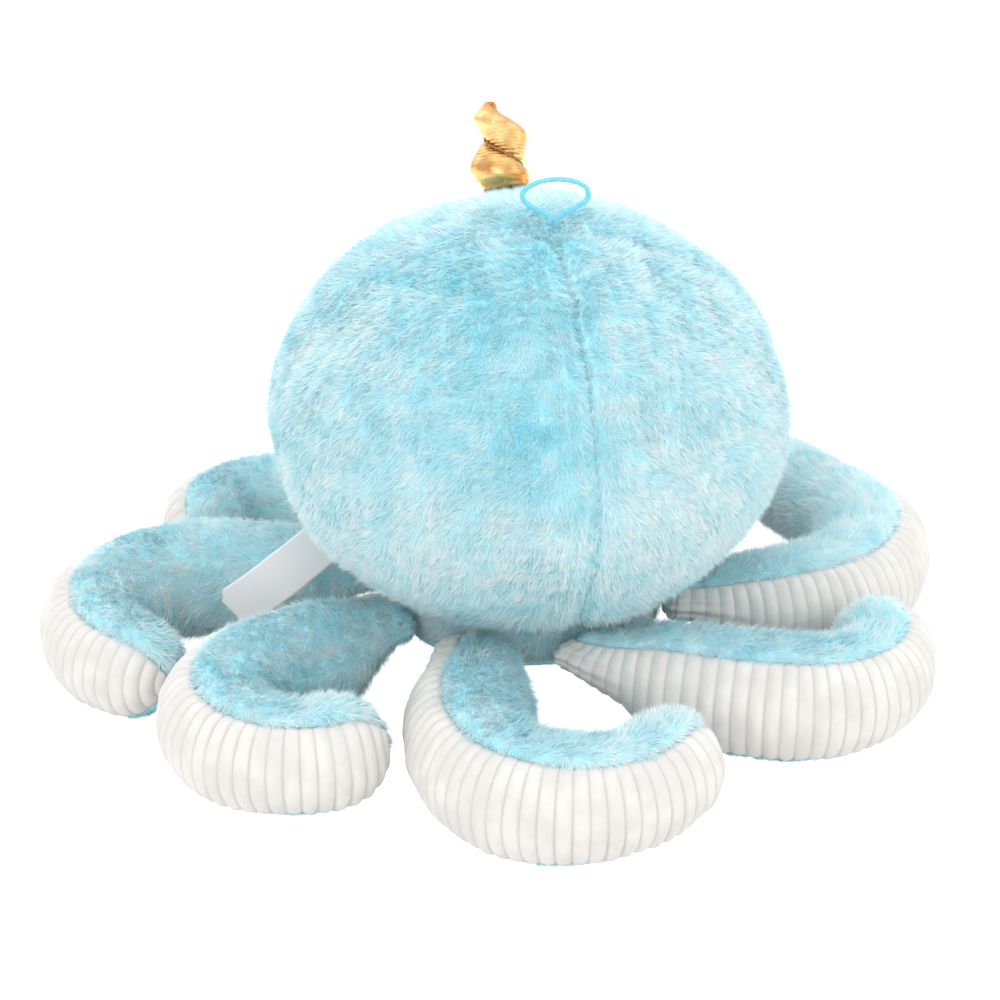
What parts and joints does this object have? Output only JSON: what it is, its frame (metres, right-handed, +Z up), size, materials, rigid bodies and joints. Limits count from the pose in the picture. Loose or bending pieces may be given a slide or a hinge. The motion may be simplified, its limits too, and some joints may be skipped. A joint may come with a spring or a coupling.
{
  "type": "plush octopus",
  "caption": "Plush octopus with a blue long-pile ball head on curled stuffed arms, white ribbed fabric outside the curls, a gold horn, a cord loop and a sewn-in label.",
  "frame": {"origin": "middle of the floor that the toy covers, at floor height", "axes": "+Z up; -Y the way that the face and the horn point; +X the toy's own left"},
  "size_m": [0.556, 0.479, 0.3246],
  "materials": {
    "blue_fur": "matte",
    "ribbed_velour": "matte",
    "fibre_filling": "matte",
    "gold_fabric": "polished",
    "gold_thread": "satin",
    "blue_cord": "satin",
    "white_satin": "satin",
    "black_eye": "gloss",
    "washer_plastic": "satin",
    "dark_thread": "matte"
  },
  "bodies": {
    "head": {"head_front_panel": "blue_fur", "head_back_left_panel": "blue_fur", "head_back_right_panel": "blue_fur", "head_base_panel": "blue_fur", "head_stuffing": "fibre_filling", "mouth_stitching": "dark_thread", "eye_left": "black_eye", "eye_right": "black_eye", "eye_washer_left": "washer_plastic", "eye_washer_right": "washer_plastic", "hanging_loop": "blue_cord"},
    "arm_1": {"arm_1_fur_panel": "blue_fur", "arm_1_ribbed_panel": "ribbed_velour", "arm_1_stuffing": "fibre_filling"},
    "arm_2": {"arm_2_fur_panel": "blue_fur", "arm_2_ribbed_panel": "ribbed_velour", "arm_2_stuffing": "fibre_filling"},
    "arm_3": {"arm_3_fur_panel": "blue_fur", "arm_3_ribbed_panel": "ribbed_velour", "arm_3_stuffing": "fibre_filling"},
    "arm_4": {"arm_4_fur_panel": "blue_fur", "arm_4_ribbed_panel": "ribbed_velour", "arm_4_stuffing": "fibre_filling"},
    "arm_5": {"arm_5_fur_panel": "blue_fur", "arm_5_ribbed_panel": "ribbed_velour", "arm_5_stuffing": "fibre_filling"},
    "arm_6": {"arm_6_fur_panel": "blue_fur", "arm_6_ribbed_panel": "ribbed_velour", "arm_6_stuffing": "fibre_filling"},
    "arm_7": {"arm_7_fur_panel": "blue_fur", "arm_7_ribbed_panel": "ribbed_velour", "arm_7_stuffing": "fibre_filling"},
    "arm_8": {"arm_8_fur_panel": "blue_fur", "arm_8_ribbed_panel": "ribbed_velour", "arm_8_stuffing": "fibre_filling"},
    "horn": {"horn_cover": "gold_fabric", "horn_stuffing": "fibre_filling", "horn_thread": "gold_thread"},
    "label": {"sewn_label": "white_satin"}
  },
  "joints": [
    {"name": "arm_1_lift", "type": "hinge", "parent": "head", "child": "arm_1", "pos_m": [0.07826, 0.01821, 0.0513], "axis": [0.3173, -0.9483, 0], "range_deg": [-10, 30], "stiffness_Nm_per_rad": 1.2},
    {"name": "arm_2_lift", "type": "hinge", "parent": "head", "child": "arm_2", "pos_m": [0.0343, 0.0706, 0.0513], "axis": [0.8788, -0.4772, 0], "range_deg": [-10, 30], "stiffness_Nm_per_rad": 1.2},
    {"name": "arm_3_lift", "type": "hinge", "parent": "head", "child": "arm_3", "pos_m": [-0.032, 0.07933, 0.0513], "axis": [0.9724, 0.2334, 0], "range_deg": [-10, 30], "stiffness_Nm_per_rad": 1.2},
    {"name": "arm_4_lift", "type": "hinge", "parent": "head", "child": "arm_4", "pos_m": [-0.09817, 0.01975, 0.0513], "axis": [0.3338, 0.9426, 0], "range_deg": [-10, 30], "stiffness_Nm_per_rad": 1.2},
    {"name": "arm_5_lift", "type": "hinge", "parent": "head", "child": "arm_5", "pos_m": [-0.09642, -0.0471, 0.0513], "axis": [-0.3827, 0.9239, 0], "range_deg": [-10, 30], "stiffness_Nm_per_rad": 1.2},
    {"name": "arm_6_lift", "type": "hinge", "parent": "head", "child": "arm_6", "pos_m": [-0.04593, -0.09759, 0.0513], "axis": [-0.9239, 0.3827, 0], "range_deg": [-10, 30], "stiffness_Nm_per_rad": 1.2},
    {"name": "arm_7_lift", "type": "hinge", "parent": "head", "child": "arm_7", "pos_m": [0.03141, -0.09489, 0.0513], "axis": [-0.8949, -0.4462, 0], "range_deg": [-10, 30], "stiffness_Nm_per_rad": 1.2},
    {"name": "arm_8_lift", "type": "hinge", "parent": "head", "child": "arm_8", "pos_m": [0.07468, -0.05008, 0.0513], "axis": [-0.4147, -0.91, 0], "range_deg": [-10, 30], "stiffness_Nm_per_rad": 1.2},
    {"name": "horn_tilt", "type": "hinge", "parent": "head", "child": "horn", "pos_m": [-0.01022, -0.08139, 0.27329], "axis": [1, 0, 0], "range_deg": [-12, 12], "stiffness_Nm_per_rad": 0.02},
    {"name": "label_flap", "type": "hinge", "parent": "head", "child": "label", "pos_m": [0.10762, -0.01757, 0.09011], "axis": [0.6053, -0.032, 0.7954], "range_deg": [-8, 8]}
  ]
}
